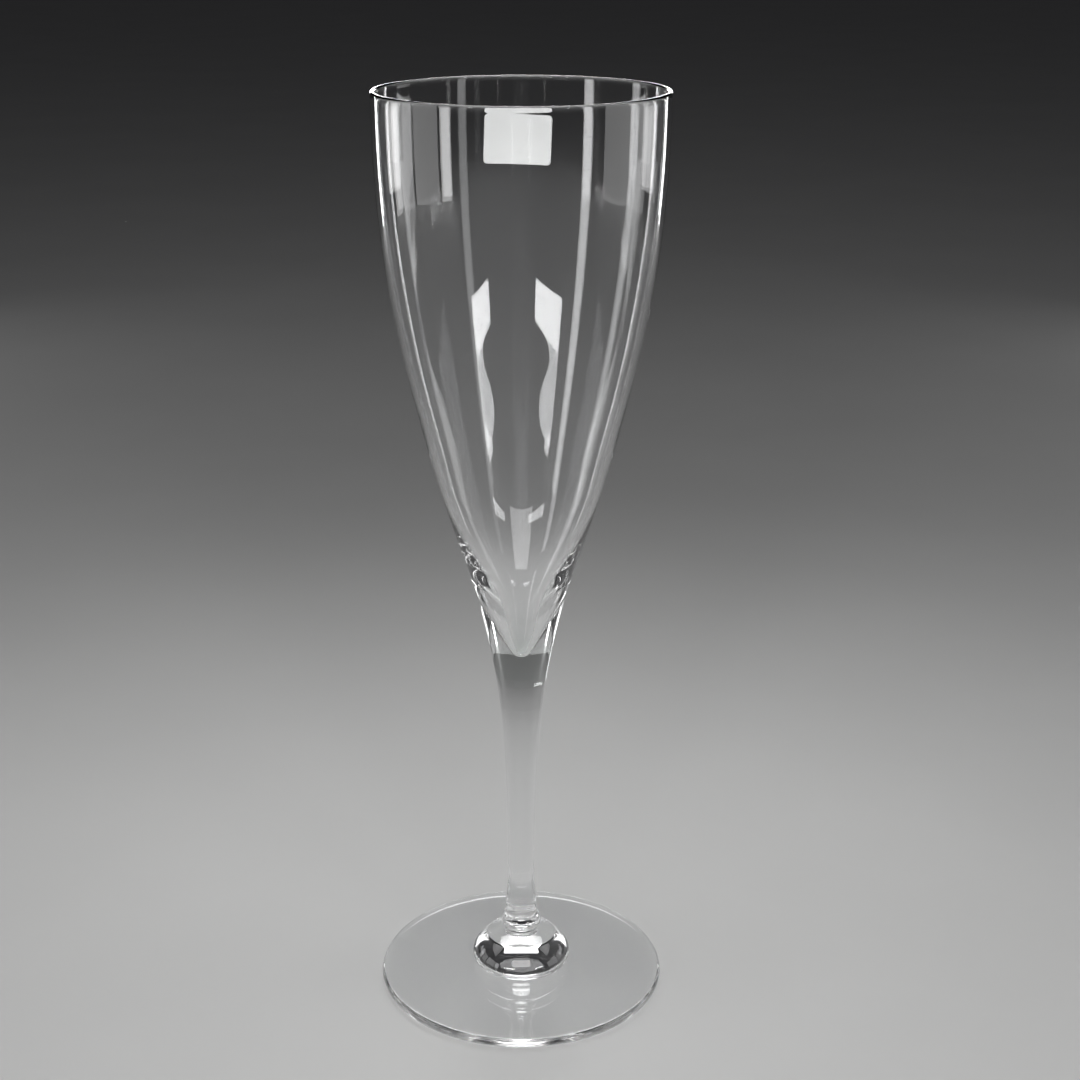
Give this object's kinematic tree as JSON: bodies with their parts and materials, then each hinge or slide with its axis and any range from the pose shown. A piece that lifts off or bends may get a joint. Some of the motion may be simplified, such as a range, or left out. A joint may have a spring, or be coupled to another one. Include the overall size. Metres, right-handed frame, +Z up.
{
  "type": "champagne flute",
  "caption": "Clear stemmed flute: thin tapered bowl with a solid base, drawn stem, small collar, flat-topped button knop, flat round foot and a blank paper label near the rim.",
  "frame": {"origin": "on the floor, at the middle of the foot", "axes": "+Z up along the glass's axis; the label is on the +Y side of the bowl; +X is to the right when the label is seen through the bowl from the -Y side"},
  "size_m": [0.0756, 0.0756, 0.235],
  "materials": {
    "crystal": "polished",
    "label_paper": "matte"
  },
  "bodies": {
    "root": {"bowl": "crystal", "stem": "crystal", "collar": "crystal", "knop": "crystal", "foot": "crystal", "label": "label_paper"}
  },
  "joints": []
}
